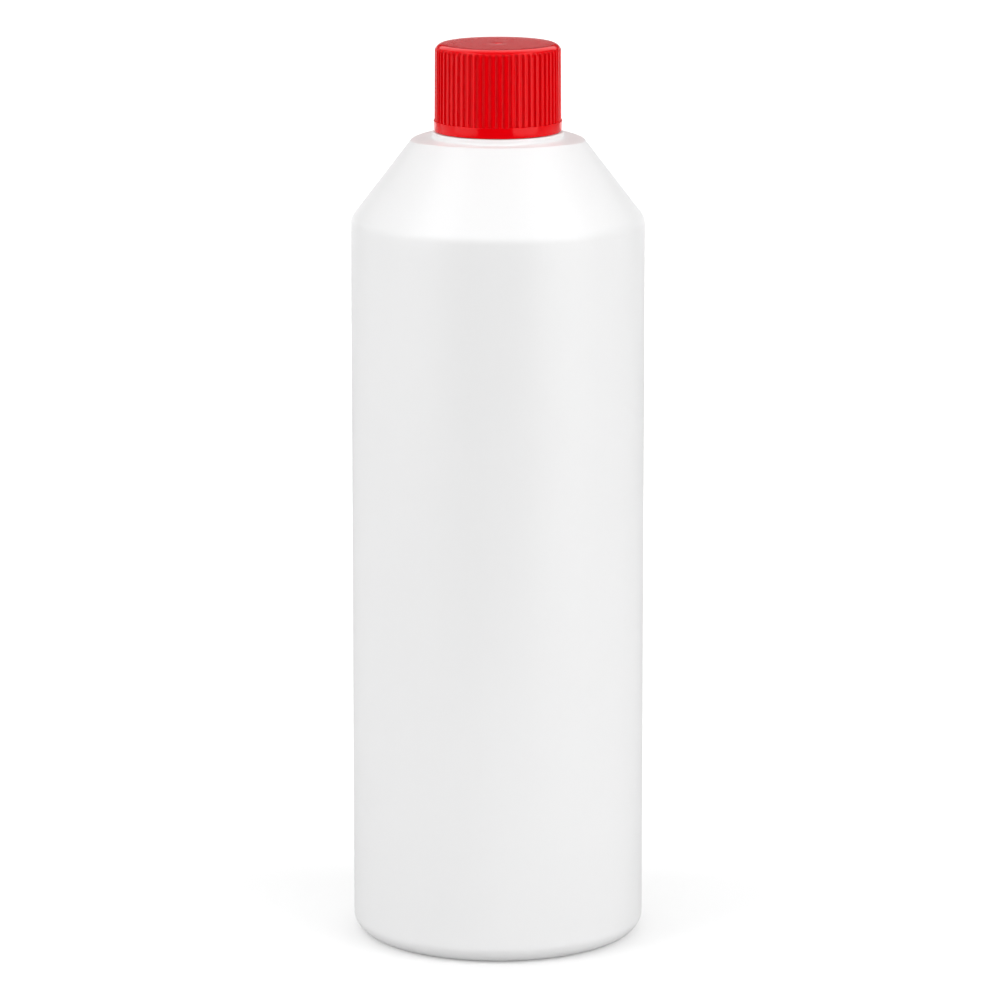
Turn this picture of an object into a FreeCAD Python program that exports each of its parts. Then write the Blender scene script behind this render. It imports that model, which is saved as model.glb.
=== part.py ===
"""Pharmacy bottle: a blow-moulded round bottle, its fluted screw cap and the cap's foam liner.

Millimetres, +Z up. The origin is the centre of the ring that the bottle stands on.
"""
import FreeCAD, Part
import math
import os
from types import SimpleNamespace

import PartDesign
import Sketcher
from FreeCAD import Placement, Rotation, Vector

DIMENSIONS = [
    # Bottle body
    ("body_diameter", 65.0, "straight body, outside"),
    ("body_height", 162.0, "base to the corner where the shoulder starts"),
    ("shoulder_height", 16.7, "height of the conical shoulder"),
    ("shelf_diameter", 39.0, "top of the shoulder, where the shelf starts"),
    ("shelf_rise", 1.3, "rise of the shelf from its edge to the collar"),
    ("wall", 1.1, "blown wall"),
    ("heel_radius", 4.2, "rounding between body and base"),
    ("shoulder_radius", 3.45, "rounding between body and shoulder"),
    # Base
    ("ring_width", 2.6, "flat ring that the bottle stands on"),
    ("ramp_width", 3.0, "slope from the ring up to the raised middle of the base"),
    ("ramp_height", 2.2, "height of that slope"),
    # Neck
    ("bore_diameter", 19.0, "mouth"),
    ("neck_wall", 1.7, "moulded wall of the neck, under the thread and the shelf"),
    ("collar_height", 1.2, "collar that shows below the cap"),
    ("collar_overhang", 0.35, "collar past the cap's foot, on the radius"),
    ("collar_gap", 0.1, "air between the collar and the cap"),
    ("collar_bevel", 0.3, "bevel of the collar's edge"),
    # Screw thread
    ("thread_pitch", 3.175, "climb in one turn, 8 turns to the inch"),
    ("thread_depth", 1.05, "height of the bottle's thread over the neck"),
    ("thread_turns", 1.6, "turns on the bottle"),
    ("thread_drop", 2.7, "rim to the middle of the thread's upper end"),
    ("thread_root_width", 2.3, "width of either thread at its sunk root"),
    ("thread_crest_width", 0.8, "width of either thread at its crest"),
    ("thread_sink", 0.4, "root of a thread inside the wall that carries it"),
    ("thread_clearance", 0.3, "crest of a thread to the other part, on the radius"),
    ("cap_thread_turns", 1.1, "turns inside the cap"),
    # Cap
    ("cap_height", 19.2, "outside"),
    ("cap_wall", 1.45, "skirt at the foot of the flutes"),
    ("cap_panel", 1.5, "top panel"),
    ("cap_draft", 0.12, "loss of radius from the band to the top"),
    ("cap_top_radius", 1.67, "rounding of the top edge"),
    ("cap_foot_bevel", 0.25, "bevel of the band's lower edge"),
    ("cap_lead_in", 0.4, "bevel inside the mouth of the skirt"),
    ("cap_angle", 4.6, "degrees that the closed cap has turned"),
    ("band_height", 2.35, "plain band at the foot of the cap"),
    ("band_proud", 0.18, "band past the foot of the flutes"),
    ("flute_count", 60, "grooves round the cap"),
    ("flute_width", 1.14, "width of a groove at the cap's surface"),
    ("flute_floor", 0.42, "width of a groove's floor"),
    ("flute_depth", 0.46, "depth of a groove at its foot"),
    ("gate_recess_diameter", 1.6, "shallow dimple round the gate mark"),
    ("gate_recess_depth", 0.12, "depth of the dimple"),
    ("gate_diameter", 0.8, "broken-off gate"),
    ("gate_drop", 0.05, "top of the cap to the top of the gate"),
    # Liner
    ("liner_thickness", 1.2, "foam disc between the panel and the rim"),
    ("liner_clearance", 0.3, "liner to the cap's inner wall, on the radius"),
]

# Sketcher's numbers for its fixed geometry and for the points of an edge
ORIGIN = -1
H_AXIS = -1
V_AXIS = -2
START = 1
END = 2

EDGE_MATCH = 0.001


class Size:
    """A number together with the spreadsheet expression that gives it."""

    def __init__(self, value, text):
        self.value = value
        self.text = text

    def joined(self, sign, other, value):
        text = other.text if isinstance(other, Size) else str(other)
        return Size(value, f"({self.text} {sign} {text})")

    def __add__(self, other):
        return self.joined("+", other, self.value + number(other))

    def __sub__(self, other):
        return self.joined("-", other, self.value - number(other))

    def __mul__(self, other):
        return self.joined("*", other, self.value * number(other))

    def __truediv__(self, other):
        return self.joined("/", other, self.value / number(other))


def number(size):
    """The plain value of a Size or of a number."""
    return size.value if isinstance(size, Size) else size


def write_sheet():
    """Put the driving dimensions in the spreadsheet and return them as Sizes."""
    sheet = doc.addObject("Spreadsheet::Sheet", "dims")
    sizes = {}
    for row, (name, value, note) in enumerate(DIMENSIONS, start=1):
        sheet.set(f"A{row}", name)
        sheet.set(f"B{row}", str(value))
        sheet.set(f"C{row}", note)
        sheet.setAlias(f"B{row}", name)
        sizes[name] = Size(value, f"dims.{name}")
    doc.recompute()
    return SimpleNamespace(**sizes)


def bind(item, name, size):
    """Set a property to a Size and tie it to the spreadsheet."""
    setattr(item, name, size.value)
    item.setExpression(name, size.text)


def origin_feature(body, role):
    """One of the body's own origin planes or axes."""
    return next(item for item in body.Origin.OriginFeatures if item.Role == role)


def new_body(name):
    """An empty body whose label names its file."""
    body = doc.addObject("PartDesign::Body", name)
    body.Label = name
    return body


def new_sketch(body, name, plane="XZ_Plane"):
    """An empty sketch on one of the body's planes. Across XZ is the radius, and up it the height."""
    sketch = body.newObject("Sketcher::SketchObject", name)
    sketch.AttachmentSupport = [(origin_feature(body, plane), "")]
    sketch.MapMode = "FlatFace"
    return sketch


def constrain(sketch, *terms, size=None):
    """Add one constraint, and name it and tie it to its Size where it has one."""
    if size is None:
        sketch.addConstraint(Sketcher.Constraint(*terms))
        return
    index = sketch.addConstraint(Sketcher.Constraint(*terms, size.value))
    name = f"size_{index}"
    sketch.renameConstraint(index, name)
    sketch.setExpression(f"Constraints.{name}", size.text)


def pin_point(sketch, edge, end, radius, height):
    """Hold a point by its Sizes. Zero is the axis or the base, and any other value is left free."""
    for kind, place, axis in (("DistanceX", radius, V_AXIS), ("DistanceY", height, H_AXIS)):
        if isinstance(place, Size):
            constrain(sketch, kind, ORIGIN, START, edge, end, size=place)
        elif place == 0:
            constrain(sketch, "PointOnObject", edge, end, axis)


def draw_outline(sketch, corners):
    """Draw a closed outline of lines through named corners of (radius, height).

    A plain number only says where a corner starts from, before other constraints place it.
    """
    points = [Vector(number(radius), number(height), 0) for radius, height in corners.values()]
    for edge, start in enumerate(points):
        end = points[(edge + 1) % len(points)]
        sketch.addGeometry(Part.LineSegment(start, end), False)
    for edge, (radius, height) in enumerate(corners.values()):
        constrain(sketch, "Coincident", edge, END, (edge + 1) % len(points), START)
        pin_point(sketch, edge, START, radius, height)


def offset_line(sketch, corners, inner, outer, gap):
    """Keep the line from one corner parallel to the line from another, a wall away."""
    names = list(corners)
    inner_edge = names.index(inner)
    outer_edge = names.index(outer)
    constrain(sketch, "Parallel", inner_edge, outer_edge)
    constrain(sketch, "Distance", inner_edge, START, outer_edge, size=gap)


def round_outline(sketch, corners, corner, size):
    """Round a corner where two lines meet. The sharp corner stays as a point that is still held."""
    arc = sketch.GeometryCount
    sketch.fillet(list(corners).index(corner), START, size.value, True, True)
    constrain(sketch, "Radius", arc, size=size)


def revolve(body, name, sketch):
    """Turn a sketch once round the body's axis."""
    feature = body.newObject("PartDesign::Revolution", name)
    feature.Profile = sketch
    feature.ReferenceAxis = (origin_feature(body, "Z_Axis"), [""])
    feature.Angle = 360
    doc.recompute()


def bevel_corner(body, name, sketch, corners, corner, size):
    """Chamfer the circular edge that a named corner of the outline turned into."""
    place = sketch.getPoint(list(corners).index(corner), START)
    edges = []
    for index, edge in enumerate(body.Tip.Shape.Edges, start=1):
        if edge.Degenerated or edge.Curve.TypeId != "Part::GeomCircle":
            continue
        ring = Vector(edge.Curve.Radius, edge.Curve.Center.z, 0)
        if ring.distanceToPoint(place) < EDGE_MATCH:
            edges.append(f"Edge{index}")
    if len(edges) != 1:
        raise RuntimeError(f"{name} found {len(edges)} edges")
    base = body.Tip
    feature = body.newObject("PartDesign::Chamfer", name)
    feature.Base = (base, edges)
    bind(feature, "Size", size)
    doc.recompute()


def draw_thread(sketch, root_r, crest_r, middle_z, half):
    """Draw a thread's section: a root sunk in the wall, two flanks and a flat crest.

    Half of it is the part above its middle line, which a rounded end is turned from.
    """
    inward = 1 if crest_r.value < root_r.value else -1
    sunk_r = root_r + d.thread_sink * inward
    half_root = d.thread_root_width / 2
    half_crest = d.thread_crest_width / 2
    draw_outline(sketch, {
        "root_foot": (sunk_r, middle_z if half else middle_z - half_root),
        "crest_foot": (crest_r, middle_z if half else middle_z - half_crest),
        "crest_head": (crest_r, middle_z + half_crest),
        "root_head": (sunk_r, middle_z + half_root),
    })
    if half:
        root_foot = Vector(sunk_r.value, middle_z.value, 0)
        crest_foot = Vector(crest_r.value, middle_z.value, 0)
        sketch.addGeometry(Part.LineSegment(root_foot, crest_foot), True)
        constrain(sketch, "Coincident", 4, START, 0, START)
        constrain(sketch, "Coincident", 4, END, 0, END)


def add_thread(body, name, root_r, crest_r, start_z, turns):
    """Sweep a right-hand thread up the body's axis and round off its two ends."""
    section = new_sketch(body, f"{name}_section")
    draw_thread(section, root_r, crest_r, start_z, half=False)
    sweep = body.newObject("PartDesign::AdditiveHelix", name)
    sweep.Profile = section
    sweep.ReferenceAxis = (origin_feature(body, "Z_Axis"), [""])
    sweep.Mode = "pitch-turns-angle"
    bind(sweep, "Pitch", d.thread_pitch)
    bind(sweep, "Turns", turns)
    doc.recompute()

    for end, done in (("foot", turns * 0), ("head", turns)):
        half = new_sketch(body, f"{name}_{end}_section")
        turned = done * 360
        raised = done * d.thread_pitch
        half.AttachmentOffset = Placement(
            Vector(0, raised.value, 0), Rotation(Vector(0, 1, 0), turned.value))
        half.setExpression("AttachmentOffset.Rotation.Angle", turned.text)
        half.setExpression("AttachmentOffset.Base.y", raised.text)
        draw_thread(half, root_r, crest_r, start_z, half=True)
        before = body.Tip.Shape.Volume
        turned_end = body.newObject("PartDesign::Revolution", f"{name}_{end}")
        turned_end.Profile = half
        turned_end.ReferenceAxis = (half, ["Axis0"])
        turned_end.Angle = 180
        turned_end.Reversed = (end == "head") == (crest_r.value > root_r.value)
        doc.recompute()
        if body.Tip.Shape.Volume <= before:
            raise RuntimeError(f"{turned_end.Name} added nothing")


def make_bottle():
    """Blown bottle: the wall's section turned round the axis, then the moulded thread."""
    body = new_body("bottle")
    inner_r = body_r - d.wall
    corners = {
        "rim_outside": (neck_r, rim_z),
        "neck_foot": (neck_r, collar_z),
        "collar_edge": (collar_r, collar_z),
        "collar_root": (collar_r, shelf_top_z),
        "shelf_edge": (shelf_r, shelf_z),
        "shoulder": (body_r, d.body_height),
        "heel": (body_r, 0),
        "ring_inside": (ring_r, 0),
        "base_edge": (base_r, d.ramp_height),
        "base_middle": (0, d.ramp_height),
        "floor_middle": (0, d.ramp_height + d.wall),
        "floor_edge": (base_r + d.wall / 2, d.ramp_height + d.wall),
        "floor_ring": (ring_r + d.wall / 2, d.wall),
        "inner_heel_foot": (body_r - d.heel_radius, d.wall),
        "inner_heel_head": (inner_r, d.heel_radius),
        "inner_shoulder": (inner_r, (d.body_height - d.wall / 2).value),
        "inner_shelf": ((shelf_r - d.wall / 2).value, (shelf_z - d.wall).value),
        "bore_foot": (bore_r, shelf_top_z.value),
        "rim_inside": (bore_r, rim_z),
    }
    section = new_sketch(body, "wall_section")
    draw_outline(section, corners)
    offset_line(section, corners, "inner_shoulder", "shelf_edge", d.wall)
    offset_line(section, corners, "inner_shelf", "collar_root", d.neck_wall)
    round_outline(section, corners, "heel", d.heel_radius)
    round_outline(section, corners, "shoulder", d.shoulder_radius)
    revolve(body, "blown_wall", section)
    bevel_corner(body, "collar_edge_bevel", section, corners, "collar_edge", d.collar_bevel)
    add_thread(body, "neck_thread", neck_r, thread_r, thread_z, d.thread_turns)
    return body


def cut_flutes(body):
    """Cut one groove up the cap's side and repeat it all the way round.

    A groove stands on the band and ends where the rounded top edge begins.
    """
    section = new_sketch(body, "flute_section", "XY_Plane")
    section.AttachmentOffset = Placement(Vector(0, 0, d.band_height.value), Rotation())
    section.setExpression("AttachmentOffset.Base.z", d.band_height.text)
    floor_r = cap_foot_r - d.flute_depth
    half_floor = d.flute_floor / 2
    flare = (d.flute_width / 2 - half_floor) / d.flute_depth
    half_mouth = d.flute_width / 2 + flare * d.band_proud
    draw_outline(section, {
        "floor_left": (floor_r, half_floor),
        "mouth_left": (band_r, half_mouth),
        "mouth_right": (band_r.value, -half_mouth.value),
        "floor_right": (floor_r.value, -half_floor.value),
    })
    constrain(section, "Symmetric", 1, START, 2, START, H_AXIS)
    constrain(section, "Symmetric", 0, START, 3, START, H_AXIS)

    before = body.Tip.Shape.Volume
    flute = body.newObject("PartDesign::Pocket", "flute")
    flute.Profile = section
    flute.Reversed = True
    bind(flute, "Length", d.cap_height - d.cap_top_radius - d.band_height)
    doc.recompute()
    if body.Tip.Shape.Volume >= before:
        raise RuntimeError("flute removed nothing")
    flutes = body.newObject("PartDesign::PolarPattern", "flutes")
    flutes.Originals = [flute]
    flutes.Axis = (origin_feature(body, "Z_Axis"), [""])
    flutes.Angle = 360
    bind(flutes, "Occurrences", d.flute_count)
    body.Tip = flutes
    doc.recompute()


def make_cap():
    """Moulded cap: a cup turned from its section, fluted outside and threaded inside."""
    body = new_body("cap")
    gate_r = d.gate_diameter / 2
    recess_r = d.gate_recess_diameter / 2
    gate_z = d.cap_height - d.gate_drop
    recess_z = d.cap_height - d.gate_recess_depth
    corners = {
        "gate_middle": (0, gate_z),
        "gate_edge": (gate_r, gate_z),
        "gate_foot": (gate_r, recess_z),
        "recess_foot": (recess_r, recess_z),
        "recess_edge": (recess_r, d.cap_height),
        "top_edge": (cap_top_r, d.cap_height),
        "flute_foot": (cap_foot_r, d.band_height),
        "band_top": (band_r, d.band_height),
        "band_foot": (band_r, 0),
        "skirt_mouth": (cap_bore_r, 0),
        "panel_corner": (cap_bore_r, liner_top),
        "panel_middle": (0, liner_top),
    }
    section = new_sketch(body, "cup_section")
    draw_outline(section, corners)
    round_outline(section, corners, "top_edge", d.cap_top_radius)
    revolve(body, "cup", section)
    bevel_corner(body, "foot_bevel", section, corners, "band_foot", d.cap_foot_bevel)
    bevel_corner(body, "lead_in", section, corners, "skirt_mouth", d.cap_lead_in)
    cut_flutes(body)
    add_thread(body, "cap_thread", cap_bore_r, cap_thread_r, cap_thread_z, d.cap_thread_turns)
    body.Placement = Placement(Vector(0, 0, cap_z.value), Rotation(Vector(0, 0, 1), d.cap_angle.value))
    body.setExpression("Placement.Base.z", cap_z.text)
    body.setExpression("Placement.Rotation.Angle", d.cap_angle.text)
    return body


def make_liner():
    """Foam disc that rests on the rim and lies against the cap's panel."""
    disc = doc.addObject("Part::Cylinder", "liner")
    disc.Label = "liner"
    bind(disc, "Radius", liner_r)
    bind(disc, "Height", d.liner_thickness)
    disc.Placement = Placement(Vector(0, 0, rim_z.value), Rotation())
    disc.setExpression("Placement.Base.z", rim_z.text)
    return disc


def export(pieces):
    """Write each piece to its own file once the whole document is sound."""
    doc.recompute()
    for item in doc.Objects:
        if "Invalid" in item.State or "Error" in item.State:
            raise RuntimeError(f"{item.Name} failed: {item.State}")
    os.makedirs("parts", exist_ok=True)
    for piece in pieces:
        if piece.Shape.isNull() or not piece.Shape.isValid():
            raise RuntimeError(f"{piece.Label} has no sound shape")
        piece.Shape.exportStep(f"parts/{piece.Label}.step")


doc = FreeCAD.newDocument("pharmacy_bottle")
d = write_sheet()

# Radii of the bottle
body_r = d.body_diameter / 2
shelf_r = d.shelf_diameter / 2
ring_r = body_r - d.heel_radius - d.ring_width
base_r = ring_r - d.ramp_width
bore_r = d.bore_diameter / 2
neck_r = bore_r + d.neck_wall
thread_r = neck_r + d.thread_depth

# Radii of the cap and its liner follow the neck and the running clearance
cap_thread_r = neck_r + d.thread_clearance
cap_bore_r = thread_r + d.thread_clearance
cap_foot_r = cap_bore_r + d.cap_wall
cap_top_r = cap_foot_r - d.cap_draft
band_r = cap_foot_r + d.band_proud
collar_r = band_r + d.collar_overhang
liner_r = cap_bore_r - d.liner_clearance

# Heights above the base, and the liner's top in the cap
shelf_z = d.body_height + d.shoulder_height
shelf_top_z = shelf_z + d.shelf_rise
collar_z = shelf_top_z + d.collar_height
cap_z = collar_z + d.collar_gap
liner_top = d.cap_height - d.cap_panel
rim_z = cap_z + liner_top - d.liner_thickness

# Lower ends of the threads: the cap's runs half a pitch below the bottle's
thread_z = rim_z - d.thread_drop - d.thread_turns * d.thread_pitch
cap_thread_z = thread_z - cap_z + d.thread_pitch * (d.cap_angle / 360 - 0.5)

export([make_bottle(), make_cap(), make_liner()])
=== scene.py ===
"""Looks of the pharmacy bottle: blown bottle, fluted screw cap and foam liner, on a white floor.

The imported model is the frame. Sections are drawn in millimetres and scaled to metres in the mesh.
"""
import math

import bmesh
import bpy
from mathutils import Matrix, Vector, noise


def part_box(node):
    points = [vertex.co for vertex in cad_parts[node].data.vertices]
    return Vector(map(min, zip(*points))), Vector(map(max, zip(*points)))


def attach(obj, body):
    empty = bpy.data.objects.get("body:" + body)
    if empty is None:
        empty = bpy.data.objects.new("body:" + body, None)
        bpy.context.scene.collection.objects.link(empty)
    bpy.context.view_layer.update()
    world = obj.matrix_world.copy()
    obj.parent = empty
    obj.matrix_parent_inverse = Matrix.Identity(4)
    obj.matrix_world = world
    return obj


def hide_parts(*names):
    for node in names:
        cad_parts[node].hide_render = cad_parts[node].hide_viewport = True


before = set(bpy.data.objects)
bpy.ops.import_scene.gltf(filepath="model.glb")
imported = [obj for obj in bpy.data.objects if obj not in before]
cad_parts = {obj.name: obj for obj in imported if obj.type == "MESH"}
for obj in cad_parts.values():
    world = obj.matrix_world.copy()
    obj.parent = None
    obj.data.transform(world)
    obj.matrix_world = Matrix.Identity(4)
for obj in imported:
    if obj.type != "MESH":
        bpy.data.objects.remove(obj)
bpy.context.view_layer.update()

MM = 0.001
TURN = 2 * math.pi


def box_mm(node):
    """Largest radius, foot and head of a CAD node, in millimetres."""
    low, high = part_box(node)
    return high[0] / MM, low[2] / MM, high[2] / MM


# ---------------------------------------------------------------- sizes, in millimetres

BODY_R, _, RIM_Z = box_mm("bottle")
BAND_R, CAP_Z, CAP_TOP_Z = box_mm("cap")
LINER_R, LINER_FOOT, LINER_HEAD = box_mm("liner")
CAP_H = CAP_TOP_Z - CAP_Z

# Bottle
WALL = 1.1
HEEL_ROUND = 4.2
HEEL_Z = 4.0            # the wall is uneven from here to the shelf
SHOULDER_Z = 162.0
SHOULDER_ROUND = 3.45
SHOULDER_FOOT_R = 30.0
SHELF_R = 19.5
SHELF_Z = 178.7
SHELF_TOP = SHELF_Z + 1.3
SHELF_EDGE_SIDE = (-0.2, 0.5)       # shift outwards and up of the shelf's edge at the parting line
SHELF_EDGE_FRONT = (-0.95, 1.25)    # and a quarter turn from it
COLLAR_R = BAND_R + 0.35
COLLAR_Z = CAP_Z - 0.1
NECK_R = 11.2
BORE_R = 9.5
RING_R = 25.7           # standing ring
PANEL_R = 22.7          # raised panel inside the ring
PANEL_Z = 2.2
PANEL_RISE = 0.5        # rise of the panel over its outer part, and again to the axis
PANEL_RISE_W = 6.0
WALL_WAVE = 0.05        # unevenness of the blown wall
WAVE_SCALE = 1.7        # how close the waves are
WAVE_STRETCH = 38       # height that counts as much as a radius round the wall
SEAM_H = 0.05           # mould's parting line over the wall
SEAM_HALF = 0.16
SEAM_ANGLES = (-0.010, -0.006, -0.003, 0.003, 0.006, 0.010)     # close steps at it, in radians
BOTTLE_STEPS = 252
SKIN_STEP = 4.0         # longest stretch of the outline between the next two heights
SKIN_STEP_FROM = 5.0
SKIN_STEP_TO = 182.0
SKIN_ARC = math.radians(9)      # steps of the roundings, outside and inside
INNER_ARC = math.radians(15)

# Weld across the base: its length, and its section as (across, height)
WELD_HALF_LENGTH = 17.0
WELD_SECTION = ((-0.9, 0.35), (-0.55, 0.05), (-0.3, -0.28), (0.0, -0.36),
                (0.3, -0.28), (0.55, 0.05), (0.9, 0.35))
WELD_BED = 0.6          # height over the panel's edge
WELD_WANDER = 0.06
WELD_STEPS = 48

# Screw threads
PITCH = 3.175
THREAD_H = 1.05
THREAD_ROOT = 0.95      # half widths of a thread
THREAD_CREST = 0.35
NECK_THREAD_TURNS = 1.6
NECK_THREAD_Z = RIM_Z - 2.7 - NECK_THREAD_TURNS * PITCH
NECK_THREAD_FOOT = RIM_Z - 9.2      # zone of close rings
NECK_THREAD_HEAD = RIM_Z - 1.3
NECK_THREAD_STEP = 0.14
CAP_THREAD_TURNS = 1.1
CAP_THREAD_FOOT = 5.6
CAP_THREAD_HEAD = 12.2
CAP_THREAD_STEP = 0.15
THREAD_FADE = math.radians(16)      # taper of a thread's ends
RELIEF_SHARE = 0.4      # part of the neck's thread that is missing at the parting line
RELIEF_HALF = 0.8

# Cap
CAP_ANGLE = math.radians(4.6)       # where the first flute and the thread start
CAP_ARC = math.radians(3)
FLUTES = 60
FLUTE_HALF = 0.54       # half width and depth of a groove
FLUTE_D = 0.6
FLUTE_SOFTNESS = 0.09   # rounding of its edges
FLUTE_STEPS = (0, 0.15, 0.29, 0.4, 0.48, 0.53, 0.57, 0.63)    # half a groove, from its middle
ARCH_H = 0.85           # height of the arch that ends a groove
BAND_H = 2.35
BAND_DRAFT = 0.07
SKIRT_R = BAND_R - 0.18
SKIRT_STEP = 1.6
DRAFT = 0.12
TOP_ROUND = 1.67
TOP_STEP = 2.6
CAP_BORE_R = 12.55
PANEL_FOOT = CAP_H - 1.5
GATE_TORN = 0.2         # pit where the gate tore off
GATE_TORN_R = 0.12
DIMPLE_R = 0.8
DIMPLE_D = 0.05
GATE_FIELD_R = 2.0      # few steps round the cap within this

# Liner
RIM_PRINT = 0.12        # how deep the rim has pressed into it
LINER_STEPS = 144


# ---------------------------------------------------------------- mesh tools

def round_corners(corners, step):
    """Points of an outline whose corners are (radius, height, rounding), with arcs in steps."""
    places = [Vector((radius, height)) for radius, height, _ in corners]
    points = []
    for index, (_, _, rounding) in enumerate(corners):
        here = places[index]
        if not rounding:
            points.append(here)
            continue
        back = (places[index - 1] - here).normalized()
        ahead = (places[index + 1] - here).normalized()
        half = back.angle(ahead) / 2
        centre = here + (back + ahead).normalized() * rounding / math.sin(half)
        start = here + back * rounding / math.tan(half) - centre
        end = here + ahead * rounding / math.tan(half) - centre
        sweep = start.angle(end)
        side = 1 if start.x * end.y - start.y * end.x > 0 else -1
        count = max(2, math.ceil(sweep / step))
        for k in range(count + 1):
            angle = side * sweep * k / count
            cos, sin = math.cos(angle), math.sin(angle)
            points.append(centre + Vector((start.x * cos - start.y * sin,
                                           start.x * sin + start.y * cos)))
    return points


def divide(points, spacing, low=-math.inf, high=math.inf):
    """Add points along the stretches between two heights that are longer than the spacing."""
    divided = [points[0]]
    for start, end in zip(points, points[1:]):
        inside = min(start.y, end.y) < high and max(start.y, end.y) > low
        count = math.ceil((end - start).length / spacing) if inside else 1
        divided += [start.lerp(end, k / count) for k in range(1, count + 1)]
    return divided


def add_ring(mesh, angles, place):
    """A ring of vertices, with place(angle) giving each one's (radius, height)."""
    ring = []
    for angle in angles:
        radius, height = place(angle)
        spot = Vector((radius * math.cos(angle), radius * math.sin(angle), height))
        ring.append(mesh.verts.new(spot * MM))
    return ring


def join_rings(mesh, lower, upper):
    """Faces between two rings, where one may have a whole number of times the other's vertices."""
    if len(lower) == len(upper):
        for k in range(len(lower)):
            mesh.faces.new((lower[k - 1], lower[k], upper[k], upper[k - 1]))
        return
    flip = len(lower) < len(upper)
    few, many = (lower, upper) if flip else (upper, lower)
    ratio = len(many) // len(few)
    for k, corner in enumerate(few):
        fan = [many[(k * ratio + j) % len(many)] for j in range(ratio + 1)]
        following = few[(k + 1) % len(few)]
        middle = ratio // 2
        for j in range(ratio):
            tip = corner if j < middle or ratio == 1 else following
            face = (fan[j], fan[j + 1], tip)
            mesh.faces.new(face[::-1] if flip else face)
        face = (corner, fan[middle], following)
        mesh.faces.new(face if flip else face[::-1])


def close_ring(mesh, ring, height, up):
    """A fan of faces from a ring to a point on the axis."""
    middle = mesh.verts.new(Vector((0, 0, height)) * MM)
    for k in range(len(ring)):
        face = (ring[k - 1], ring[k], middle)
        mesh.faces.new(face if up else face[::-1])


def make_piece(name, mesh, sharp_angle):
    """Turn mesh code's result into a smooth-shaded object with crisp edges past an angle."""
    bmesh.ops.recalc_face_normals(mesh, faces=mesh.faces)
    data = bpy.data.meshes.new(name)
    mesh.to_mesh(data)
    mesh.free()
    data.shade_smooth()
    data.set_sharp_from_angle(angle=math.radians(sharp_angle))
    piece = bpy.data.objects.new(name, data)
    bpy.context.collection.objects.link(piece)
    return piece


def ease(x):
    """Smooth step from 0 to 1."""
    x = min(1.0, max(0.0, x))
    return x * x * (3 - 2 * x)


def thread_height(angle, height, start, turns):
    """How far a right-hand thread stands off its wall at a place, with faded ends."""
    stands = 0.0
    for lap in range(-1, math.ceil(turns) + 1):
        along = angle + lap * TURN
        if not -THREAD_FADE < along < turns * TURN + THREAD_FADE:
            continue
        off = abs(height - start - PITCH * along / TURN)
        flank = ease((THREAD_ROOT - off) / (THREAD_ROOT - THREAD_CREST))
        into = min(along, turns * TURN - along) / THREAD_FADE
        stands = max(stands, THREAD_H * flank * ease((into + 1) / 2))
    return stands


# ---------------------------------------------------------------- bottle

def seam_share(angle):
    """How much of the parting line stands at an angle: 1 on the line, which lies along X."""
    arc = abs(math.sin(angle)) * BODY_R
    return math.exp(-(arc / SEAM_HALF) ** 2)


def blown_wall(height, angle):
    """Drop of the outer wall below its true form: slow waves, with the parting line left proud."""
    spot = Vector((math.cos(angle), math.sin(angle), height / WAVE_STRETCH))
    slow = 0.5 + 0.5 * noise.noise(spot * WAVE_SCALE)
    return (WALL_WAVE * slow + SEAM_H) * (1 - seam_share(angle))


def shift_shelf(radius, angle):
    """Shift outwards and up of the skin near the shelf's edge.

    The edge lies lowest at the parting line and highest a quarter turn from it.
    """
    if radius < SHELF_R:
        share = (radius - COLLAR_R) / (SHELF_R - COLLAR_R)
    else:
        share = (SHOULDER_FOOT_R - radius) / (SHOULDER_FOOT_R - SHELF_R)
    share = max(0.0, share)
    low = math.cos(angle) ** 4
    return [share * (front + (side - front) * low)
            for front, side in zip(SHELF_EDGE_FRONT, SHELF_EDGE_SIDE)]


def bottle_angles():
    """Even steps round the bottle, with close ones at the parting line."""
    even = [TURN * k / BOTTLE_STEPS for k in range(BOTTLE_STEPS)]
    close = [(side + offset) % TURN for side in (0.0, math.pi) for offset in SEAM_ANGLES]
    return sorted(even + close)


def skin_place(radius, height, angle):
    """Place of the bottle's skin at an angle, with the uneven wall, shelf and neck thread in it."""
    if HEEL_Z < height < SHELF_TOP + 0.1 and radius > COLLAR_R:
        out, up = shift_shelf(radius, angle) if height > SHOULDER_Z else (0.0, 0.0)
        drop = min(1.0, radius - COLLAR_R) * blown_wall(height, angle)
        return radius + out - drop, height + up
    if abs(radius - NECK_R) < 0.02 and height > NECK_THREAD_FOOT:
        relief = 1 - RELIEF_SHARE * math.exp(-(math.sin(angle) * NECK_R / RELIEF_HALF) ** 2)
        stands = thread_height(angle, height, NECK_THREAD_Z, NECK_THREAD_TURNS)
        return radius + stands * relief, height
    return radius, height


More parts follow.
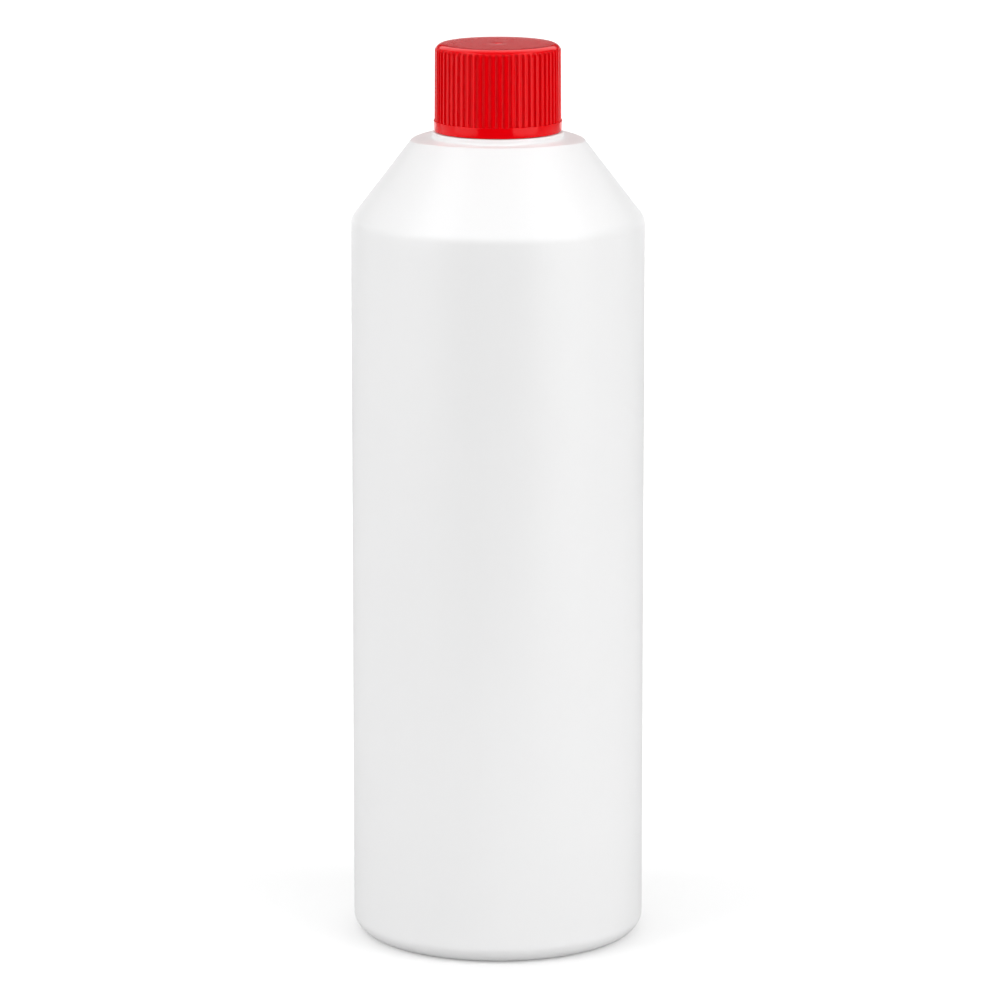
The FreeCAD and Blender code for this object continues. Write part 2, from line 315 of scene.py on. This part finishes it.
def make_bottle():
    """The bottle as one closed skin: outside from the base to the rim, then the inside."""
    inner_r = BODY_R - WALL
    outside = round_corners([
        (PANEL_R - PANEL_RISE_W, PANEL_Z + PANEL_RISE, 0),
        (PANEL_R, PANEL_Z, 0.8),
        (RING_R, 0, 0.8),
        (BODY_R, 0, HEEL_ROUND),
        (BODY_R, SHOULDER_Z, SHOULDER_ROUND),
        (SHELF_R, SHELF_Z, 0.55),
        (COLLAR_R - 0.25, SHELF_TOP, 0.5),
        (COLLAR_R, COLLAR_Z, 0.28),
        (NECK_R, COLLAR_Z, 0.25),
        (NECK_R, RIM_Z, 0.3),
        (BORE_R, RIM_Z, 0.35),
        (BORE_R, SHELF_TOP, 0),
    ], SKIN_ARC)[:-1]
    outside = divide(outside, SKIN_STEP, SKIN_STEP_FROM, SKIN_STEP_TO)
    outside = divide(outside, NECK_THREAD_STEP, NECK_THREAD_FOOT, NECK_THREAD_HEAD)
    inside = round_corners([
        (BORE_R, SHELF_TOP + 1, 0),
        (BORE_R, SHELF_TOP - 0.4, 2.0),
        (SHELF_R - 1.3, SHELF_Z - WALL, 1.2),
        (inner_r, SHOULDER_Z - 0.5, 2.4),
        (inner_r, WALL, 3.1),
        (RING_R + 0.5, WALL, 0.8),
        (PANEL_R + 0.5, PANEL_Z + WALL, 0.8),
        (PANEL_R - PANEL_RISE_W, PANEL_Z + WALL + PANEL_RISE, 0),
    ], INNER_ARC)
    angles = bottle_angles()

    mesh = bmesh.new()
    rings = [add_ring(mesh, angles, lambda angle: skin_place(*point, angle)) for point in outside]
    rings += [add_ring(mesh, angles, lambda angle: tuple(point)) for point in inside]
    for lower, upper in zip(rings, rings[1:]):
        join_rings(mesh, lower, upper)
    close_ring(mesh, rings[0], PANEL_Z + 2 * PANEL_RISE, up=False)
    close_ring(mesh, rings[-1], PANEL_Z + WALL + 2 * PANEL_RISE, up=True)
    add_pinch_off(mesh)
    return make_piece("bottle_skin", mesh, sharp_angle=50)


def add_pinch_off(mesh):
    """Weld across the raised base, where the mould pinched the tube of plastic shut."""
    rows = []
    for k in range(WELD_STEPS + 1):
        along = WELD_HALF_LENGTH * (2 * k / WELD_STEPS - 1)
        taper = math.sqrt(max(0.02, 1 - (along / WELD_HALF_LENGTH) ** 4))
        bed = PANEL_Z + WELD_BED + PANEL_RISE * (1 - abs(along) / PANEL_R)
        wander = WELD_WANDER * noise.noise(Vector((along / 3, 0, 0)))
        spots = [Vector((along, across * taper + wander, bed + rise * taper))
                 for across, rise in WELD_SECTION]
        rows.append([mesh.verts.new(spot * MM) for spot in spots])
    for row, following in zip(rows, rows[1:]):
        for k in range(len(row)):
            mesh.faces.new((row[k - 1], row[k], following[k], following[k - 1]))
    mesh.faces.new(rows[0])
    mesh.faces.new(rows[-1][::-1])


# ---------------------------------------------------------------- cap

def soft_lower(one, other, softness):
    """The lower of two values, with the change from one to the other rounded off."""
    apart = one - other
    return (one + other - math.sqrt(apart * apart + softness * softness)) / 2


def flute_radius(angle, plain_r, height):
    """Radius of the fluted skirt: its plain radius, cut by the nearest round groove.

    Past the foot of the top's rounding, a groove grows shallow and ends in an arch.
    """
    step = TURN / FLUTES
    off = (angle - CAP_ANGLE + step / 2) % step - step / 2
    across = off * SKIRT_R
    wall_r = SKIRT_R - DRAFT * (height - BAND_H) / (CAP_H - BAND_H)
    arch_drop = TOP_ROUND - math.sqrt(TOP_ROUND ** 2 - ARCH_H ** 2)
    above = max(0.0, height - CAP_H + TOP_ROUND) / ARCH_H
    groove_r = wall_r + (FLUTE_D - arch_drop) * above ** 2
    if abs(across) < FLUTE_HALF:
        groove_r -= FLUTE_D * math.sqrt(1 - (across / FLUTE_HALF) ** 2)
    return soft_lower(plain_r, groove_r, FLUTE_SOFTNESS)


def flute_angles():
    """Steps round the cap, close together where grooves and ridges meet."""
    step = TURN / FLUTES
    half = [across / SKIRT_R for across in FLUTE_STEPS]
    flute = half + [step / 2] + [step - angle for angle in half[:0:-1]]
    return [CAP_ANGLE + step * k + angle for k in range(FLUTES) for angle in flute]


def cap_bore_radius(angle, radius, height):
    """Radius of the cap's inside, with the thread standing on its bore."""
    if radius != CAP_BORE_R:
        return radius
    thread_z = NECK_THREAD_Z - CAP_Z + PITCH * (CAP_ANGLE / TURN - 0.5)
    along = (angle - CAP_ANGLE) % TURN
    return radius - thread_height(along, height, thread_z, CAP_THREAD_TURNS)


def make_cap():
    """The cap as one closed skin: gate mark, top, flutes and band, then the bore and its thread."""
    outside = round_corners([
        (0.06, CAP_H - GATE_TORN, 0),
        (GATE_TORN_R, CAP_H - GATE_TORN, 0.02),
        (GATE_TORN_R + 0.05, CAP_H - DIMPLE_D, 0.02),
        (DIMPLE_R - 0.25, CAP_H - DIMPLE_D, 0.2),
        (DIMPLE_R + 0.1, CAP_H, 0.4),
        (SKIRT_R - DRAFT, CAP_H, TOP_ROUND),
        (SKIRT_R, BAND_H, 0),
    ], CAP_ARC)
    outside = divide(outside, TOP_STEP)
    outside = divide(outside, SKIRT_STEP, BAND_H, CAP_H - TOP_ROUND - 0.1)
    band = round_corners([
        (BAND_R - 0.5, BAND_H, 0),
        (BAND_R, BAND_H, 0.08),
        (BAND_R - BAND_DRAFT, 0, 0.28),
        (CAP_BORE_R + 0.45, 0, 0.12),
        (CAP_BORE_R, 0.5, 0.2),
        (CAP_BORE_R, 1.5, 0),
    ], INNER_ARC)[1:]
    inside = [Vector((CAP_BORE_R, 1.6))]
    inside += divide([Vector((CAP_BORE_R, CAP_THREAD_FOOT)), Vector((CAP_BORE_R, CAP_THREAD_HEAD))],
                     CAP_THREAD_STEP)
    inside += round_corners([
        (CAP_BORE_R, CAP_THREAD_HEAD, 0),
        (CAP_BORE_R, PANEL_FOOT, 0.35),
        (3.0, PANEL_FOOT, 0),
    ], INNER_ARC)[1:]

    fine = flute_angles()
    coarse = fine[::4]
    coarsest = coarse[::4]
    arches_end = CAP_H - TOP_ROUND + ARCH_H + 0.25

    mesh = bmesh.new()
    rings = []
    for radius, height in outside:
        if height > arches_end:
            angles = coarse if radius > GATE_FIELD_R else coarsest
            rings.append(add_ring(mesh, angles, lambda angle: (radius, CAP_Z + height)))
        else:
            rings.append(add_ring(
                mesh, fine, lambda angle: (flute_radius(angle, radius, height), CAP_Z + height)))
    for radius, height in band:
        angles = fine if height > BAND_H - 0.02 else coarse
        rings.append(add_ring(mesh, angles, lambda angle: (radius, CAP_Z + height)))
    for radius, height in inside:
        rings.append(add_ring(
            mesh, coarse, lambda angle: (cap_bore_radius(angle, radius, height), CAP_Z + height)))
    for upper, lower in zip(rings, rings[1:]):
        join_rings(mesh, lower, upper)
    close_ring(mesh, rings[0], CAP_Z + CAP_H - GATE_TORN, up=True)
    close_ring(mesh, rings[-1], CAP_Z + PANEL_FOOT, up=False)
    return make_piece("cap_skin", mesh, sharp_angle=55)


# ---------------------------------------------------------------- liner

def make_liner():
    """Foam disc with softened edges and the ring that the rim has pressed into it."""
    thickness = LINER_HEAD - LINER_FOOT
    section = round_corners([
        (2.0, 0, 0),
        (BORE_R - 0.2, 0, 0.3),
        (BORE_R + 0.1, RIM_PRINT, 0.3),
        (NECK_R - 0.1, RIM_PRINT, 0.3),
        (NECK_R + 0.2, 0, 0.3),
        (LINER_R, 0, 0.15),
        (LINER_R, thickness, 0.15),
        (2.0, thickness, 0),
    ], INNER_ARC)
    angles = [TURN * k / LINER_STEPS for k in range(LINER_STEPS)]
    mesh = bmesh.new()
    rings = [add_ring(mesh, angles, lambda angle: (point.x, LINER_FOOT + point.y))
             for point in section]
    for lower, upper in zip(rings, rings[1:]):
        join_rings(mesh, lower, upper)
    close_ring(mesh, rings[0], LINER_FOOT, up=False)
    close_ring(mesh, rings[-1], LINER_HEAD, up=True)
    return make_piece("liner_disc", mesh, sharp_angle=40)


# ---------------------------------------------------------------- shader tools

def add_node(tree, kind, **sockets):
    """Add a shader node and set its inputs by name, with underscores for spaces."""
    node = tree.nodes.new(kind)
    for name, value in sockets.items():
        node.inputs[name.replace("_", " ")].default_value = value
    return node


def new_group(name, inputs, outputs):
    """An empty node group with named inputs and outputs. Returns its tree and both ends."""
    tree = bpy.data.node_groups.new(name, "ShaderNodeTree")
    for socket, kind, value in inputs:
        item = tree.interface.new_socket(name=socket, in_out="INPUT", socket_type=kind)
        item.default_value = value
    for socket, kind in outputs:
        tree.interface.new_socket(name=socket, in_out="OUTPUT", socket_type=kind)
    return tree, tree.nodes.new("NodeGroupInput"), tree.nodes.new("NodeGroupOutput")


def math_node(tree, operation, first, second):
    """A Math node. Each operand is a socket or a number."""
    node = tree.nodes.new("ShaderNodeMath")
    node.operation = operation
    for slot, value in enumerate((first, second)):
        if isinstance(value, (int, float)):
            node.inputs[slot].default_value = value
        else:
            tree.links.new(value, node.inputs[slot])
    return node.outputs[0]


def scaled_spot(tree, scale):
    """Object coordinates stretched by (x, y, z)."""
    coordinates = tree.nodes.new("ShaderNodeTexCoord")
    mapping = add_node(tree, "ShaderNodeMapping", Scale=scale)
    tree.links.new(coordinates.outputs["Object"], mapping.inputs["Vector"])
    return mapping.outputs["Vector"]


def noise_value(tree, spot, scale, detail=2.0):
    """A noise texture's value at a scale given by a socket or a number."""
    node = add_node(tree, "ShaderNodeTexNoise", Detail=detail, Roughness=0.55)
    tree.links.new(spot, node.inputs["Vector"])
    if isinstance(scale, (int, float)):
        node.inputs["Scale"].default_value = scale
    else:
        tree.links.new(scale, node.inputs["Scale"])
    return node.outputs["Fac"]


FLOAT = "NodeSocketFloat"
COLOUR = "NodeSocketColor"


def build_mould_grain():
    """Fine grain that the mould's blasted steel leaves, as a height from 0 to 1."""
    tree, given, result = new_group(
        "Mould grain", [("Grains per metre", FLOAT, 3000.0)], [("Height", FLOAT)])
    spot = scaled_spot(tree, (1, 1, 1))
    per_metre = given.outputs["Grains per metre"]
    fine = noise_value(tree, spot, per_metre)
    coarse = noise_value(tree, spot, math_node(tree, "MULTIPLY", per_metre, 0.31), 1.0)
    height = math_node(tree, "ADD", math_node(tree, "MULTIPLY", fine, 0.7),
                       math_node(tree, "MULTIPLY", coarse, 0.3))
    tree.links.new(height, result.inputs["Height"])
    return tree


def build_flow_lines():
    """Faint upright lines that the die draws in the plastic, as a height from 0 to 1."""
    tree, given, result = new_group(
        "Flow lines", [("Lines per metre", FLOAT, 500.0)], [("Height", FLOAT)])
    spot = scaled_spot(tree, (1, 1, 0.012))
    lines = noise_value(tree, spot, given.outputs["Lines per metre"], 3.0)
    tree.links.new(lines, result.inputs["Height"])
    return tree


def build_tone_drift():
    """Slow, slight change of a plastic's colour through the wall."""
    tree, given, result = new_group(
        "Tone drift",
        [("Colour", COLOUR, (1, 1, 1, 1)), ("Amount", FLOAT, 0.02),
         ("Patches per metre", FLOAT, 30.0)],
        [("Colour", COLOUR)])
    spot = scaled_spot(tree, (1, 1, 0.5))
    patches = noise_value(tree, spot, given.outputs["Patches per metre"], 2.0)
    swing = math_node(tree, "MULTIPLY", math_node(tree, "SUBTRACT", patches, 0.5),
                      given.outputs["Amount"])
    shade = tree.nodes.new("ShaderNodeHueSaturation")
    tree.links.new(math_node(tree, "ADD", math_node(tree, "MULTIPLY", swing, 2.0), 1.0),
                   shade.inputs["Value"])
    tree.links.new(given.outputs["Colour"], shade.inputs["Color"])
    tree.links.new(shade.outputs["Color"], result.inputs["Colour"])
    return tree


def build_handling():
    """Roughness with the dull rubs and fine scuffs of handling in it."""
    tree, given, result = new_group(
        "Handling",
        [("Roughness", FLOAT, 0.4), ("Rubs", FLOAT, 0.06), ("Scuffs", FLOAT, 0.1)],
        [("Roughness", FLOAT)])
    rubs = noise_value(tree, scaled_spot(tree, (1, 1, 1)), 55.0, 3.0)
    scuffs = noise_value(tree, scaled_spot(tree, (1.0, 1.0, 0.09)), 900.0, 2.0)
    scuff_mask = add_node(tree, "ShaderNodeMapRange", From_Min=0.66, From_Max=0.74)
    tree.links.new(scuffs, scuff_mask.inputs["Value"])
    rubbed = math_node(tree, "MULTIPLY", math_node(tree, "SUBTRACT", rubs, 0.5),
                       given.outputs["Rubs"])
    scuffed = math_node(tree, "MULTIPLY", scuff_mask.outputs["Result"], given.outputs["Scuffs"])
    dulled = math_node(tree, "ADD", given.outputs["Roughness"], rubbed)
    tree.links.new(math_node(tree, "ADD", dulled, scuffed), result.inputs["Roughness"])
    return tree


MOULD_GRAIN = build_mould_grain()
FLOW_LINES = build_flow_lines()
TONE_DRIFT = build_tone_drift()
HANDLING = build_handling()


def place_group(tree, group, **sockets):
    """Place a node group and set its inputs by name, with underscores for spaces."""
    node = tree.nodes.new("ShaderNodeGroup")
    node.node_tree = group
    for name, value in sockets.items():
        node.inputs[name.replace("_", " ")].default_value = value
    return node


def plastic(name, colour, drift, patches, roughness, rubs, scuffs, relief, **shader):
    """A moulded plastic. relief lists (group that gives a Height, its inputs, depth in metres)."""
    material = bpy.data.materials.new(name)
    material.use_nodes = True
    tree = material.node_tree
    surface = tree.nodes["Principled BSDF"]
    for socket, value in shader.items():
        surface.inputs[socket.replace("_", " ")].default_value = value
    tone = place_group(tree, TONE_DRIFT,
                       Colour=(*colour, 1), Amount=drift, Patches_per_metre=patches)
    tree.links.new(tone.outputs["Colour"], surface.inputs["Base Color"])
    worn = place_group(tree, HANDLING, Roughness=roughness, Rubs=rubs, Scuffs=scuffs)
    tree.links.new(worn.outputs["Roughness"], surface.inputs["Roughness"])
    normal = None
    for group, sockets, depth in relief:
        height = place_group(tree, group, **sockets)
        bump = add_node(tree, "ShaderNodeBump", Strength=1.0, Distance=depth)
        tree.links.new(height.outputs["Height"], bump.inputs["Height"])
        if normal:
            tree.links.new(normal, bump.inputs["Normal"])
        normal = bump.outputs["Normal"]
    if normal:
        tree.links.new(normal, surface.inputs["Normal"])
    return material


def blown_polyethylene():
    """Satin white of the blown bottle."""
    return plastic(
        "Blown polyethylene", (0.86, 0.86, 0.862), drift=0.015, patches=28.0,
        roughness=0.33, rubs=0.05, scuffs=0.0,
        relief=[(MOULD_GRAIN, {"Grains_per_metre": 2600.0}, 0.000012),
                (FLOW_LINES, {"Lines_per_metre": 420.0}, 0.00002)],
        IOR=1.51)


def red_polypropylene():
    """Glossy red of the moulded cap."""
    return plastic(
        "Red polypropylene", (0.78, 0.0, 0.003), drift=0.04, patches=90.0,
        roughness=0.13, rubs=0.04, scuffs=0.05,
        relief=[(MOULD_GRAIN, {"Grains_per_metre": 4200.0}, 0.000004)],
        IOR=1.49, Specular_Tint=(1.0, 0.3, 0.3, 1.0))


def white_foam():
    """Matte foam of the liner, with its cells showing."""
    return plastic(
        "White foam", (0.86, 0.86, 0.84), drift=0.03, patches=200.0,
        roughness=0.8, rubs=0.05, scuffs=0.0,
        relief=[(MOULD_GRAIN, {"Grains_per_metre": 1800.0}, 0.00006)],
        IOR=1.45)


# ---------------------------------------------------------------- room, in metres and watts

CAMERA_BACK = 1.2
CAMERA_HEIGHT = 0.3486
CAMERA_AIM = 0.0983
CAMERA_SIDE = 0.00045
CAMERA_LENS = 198.0     # millimetres
CAMERA_SENSOR = 36.0
BACKDROP_WHITE = 1.0
WORLD_SHEEN = 0.030     # brightness of the surroundings in what is glossy
FLOOR_GREY = 0.6
FLOOR_FRONT = 0.30      # reach of the floor in front of the axis
FLOOR_BACK = 12.0
FLOOR_SIDE = 8.0
FLOOR_GLOW_IN_PAINTED_SHADE = 0.36       # emission beside the bottle, turned down there as painted shade round the base, so the lamps' shadow shows and reads deeper
GLOW_START = 0.033      # distances from the axis over which the painted shade fades and the emission rises to 1
GLOW_END = 0.5
UPRIGHT_LAMP = 0.6      # a lamp below this height stands upright, a higher one looks down
LAMP_AIM = 0.1
LAMPS = {
    # azimuth in degrees, distance, height of the middle, width, tall, power
    "left_softbox": (-60, 0.85, 0.32, 0.72, 0.74, 3.35),
    "right_softbox": (51.5, 0.85, 0.32, 0.775, 0.74, 4.4),
    "left_rear": (-103, 0.8, 0.36, 0.57, 0.72, 0.75),
    "right_rear": (98, 0.8, 0.36, 0.63, 0.72, 0.3),
    "left_high": (-62, 0.9, 0.95, 0.75, 0.75, 4.2),
    "right_high": (62, 0.9, 0.95, 0.75, 0.75, 3.85),
    "front_high": (0, 0.95, 0.95, 0.9, 0.6, 2.35),
    "back_low": (180, 1.0, 0.15, 1.4, 0.3, 1.3),
    "rear_ceiling": (180, 0.9, 1.3, 2.4, 1.8, 13.5),
    "ceiling": (90, 0.05, 1.4, 2.6, 2.6, 8.0),
}


def white_background(tree):
    """A value of 1 for what the camera sees, straight or through something clear, else 0."""
    rays = tree.nodes.new("ShaderNodeLightPath")
    return math_node(tree, "MAXIMUM",
                     rays.outputs["Is Camera Ray"], rays.outputs["Is Transmission Ray"])


def make_floor():
    """Wide pale floor. To the camera it glows white far out; near the bottle its emission is turned
    down, so the lamps' shadow shows there and the floor round the base is painted darker as well.
    """
    mesh = bmesh.new()
    corners = [(-FLOOR_SIDE, -FLOOR_FRONT, 0), (FLOOR_SIDE, -FLOOR_FRONT, 0),
               (FLOOR_SIDE, FLOOR_BACK, 0), (-FLOOR_SIDE, FLOOR_BACK, 0)]
    mesh.faces.new([mesh.verts.new(corner) for corner in corners])
    floor = make_piece("floor", mesh, sharp_angle=30)
    material = bpy.data.materials.new("White floor")
    material.use_nodes = True
    tree = material.node_tree
    surface = tree.nodes["Principled BSDF"]
    surface.inputs["Base Color"].default_value = (FLOOR_GREY, FLOOR_GREY, FLOOR_GREY, 1)
    surface.inputs["Roughness"].default_value = 0.9
    surface.inputs["Emission Color"].default_value = (1, 1, 1, 1)
    distance = tree.nodes.new("ShaderNodeVectorMath")
    distance.operation = "LENGTH"
    tree.links.new(scaled_spot(tree, (1, 1, 1)), distance.inputs[0])
    # Painted shade: the emission is lowest beside the bottle and rises with distance, so the floor
    # round the base reads darker under any lamp.
    painted_shade_glow = add_node(tree, "ShaderNodeMapRange", From_Min=GLOW_START, From_Max=GLOW_END,
                    To_Min=FLOOR_GLOW_IN_PAINTED_SHADE, To_Max=1.0)
    tree.links.new(distance.outputs["Value"], painted_shade_glow.inputs["Value"])
    strength = math_node(tree, "MULTIPLY", white_background(tree), painted_shade_glow.outputs["Result"])
    tree.links.new(strength, surface.inputs["Emission Strength"])
    floor.data.materials.append(material)


def make_world():
    """Even surroundings: full white to the camera, a dim sheen in what is glossy."""
    world = bpy.data.worlds.new("White studio")
    bpy.context.scene.world = world
    world.use_nodes = True
    tree = world.node_tree
    backdrop = tree.nodes["Background"]
    backdrop.inputs["Color"].default_value = (1, 1, 1, 1)
    rays = tree.nodes.new("ShaderNodeLightPath")
    sheen = math_node(tree, "MULTIPLY", rays.outputs["Is Glossy Ray"], WORLD_SHEEN)
    white = math_node(tree, "MULTIPLY", white_background(tree), BACKDROP_WHITE)
    tree.links.new(math_node(tree, "ADD", white, sheen), backdrop.inputs["Strength"])


def studio_lamp(name, azimuth, distance, height, width, tall, power):
    """Area lamp that faces the bottle's axis. Azimuth is in degrees from the front, + to the right.

    Height is that of the lamp's middle.
    """
    lamp = bpy.data.lights.new(name, "AREA")
    lamp.shape = "RECTANGLE"
    lamp.size = width
    lamp.size_y = tall
    lamp.energy = power
    holder = bpy.data.objects.new(name, lamp)
    turn = math.radians(azimuth)
    place = Vector((math.sin(turn) * distance, -math.cos(turn) * distance, height))
    holder.location = place
    aim = Vector((0, 0, place.z if place.z < UPRIGHT_LAMP else LAMP_AIM)) - place
    holder.rotation_euler = aim.to_track_quat("-Z", "Y").to_euler()
    holder.visible_camera = False
    bpy.context.collection.objects.link(holder)


def make_camera():
    """Long lens from a little above the shoulder."""
    lens = bpy.data.cameras.new("camera")
    lens.sensor_width = CAMERA_SENSOR
    lens.lens = CAMERA_LENS
    lens.clip_end = 50.0
    camera = bpy.data.objects.new("camera", lens)
    camera.location = (CAMERA_SIDE, -CAMERA_BACK, CAMERA_HEIGHT)
    aim = Vector((CAMERA_SIDE, 0, CAMERA_AIM)) - camera.location
    camera.rotation_euler = aim.to_track_quat("-Z", "Y").to_euler()
    bpy.context.collection.objects.link(camera)
    bpy.context.scene.camera = camera


def finish_piece(piece, body, material):
    """Give a piece its finish, let it ride on its body and stand for that body's CAD node."""
    piece.data.materials.append(material)
    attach(piece, body)
    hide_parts(body)


make_camera()
make_world()
make_floor()
for lamp_name, settings in LAMPS.items():
    studio_lamp(lamp_name, *settings)
finish_piece(make_bottle(), "bottle", blown_polyethylene())
finish_piece(make_cap(), "cap", red_polypropylene())
finish_piece(make_liner(), "liner", white_foam())

scene = bpy.context.scene
scene.view_settings.view_transform = "Standard"
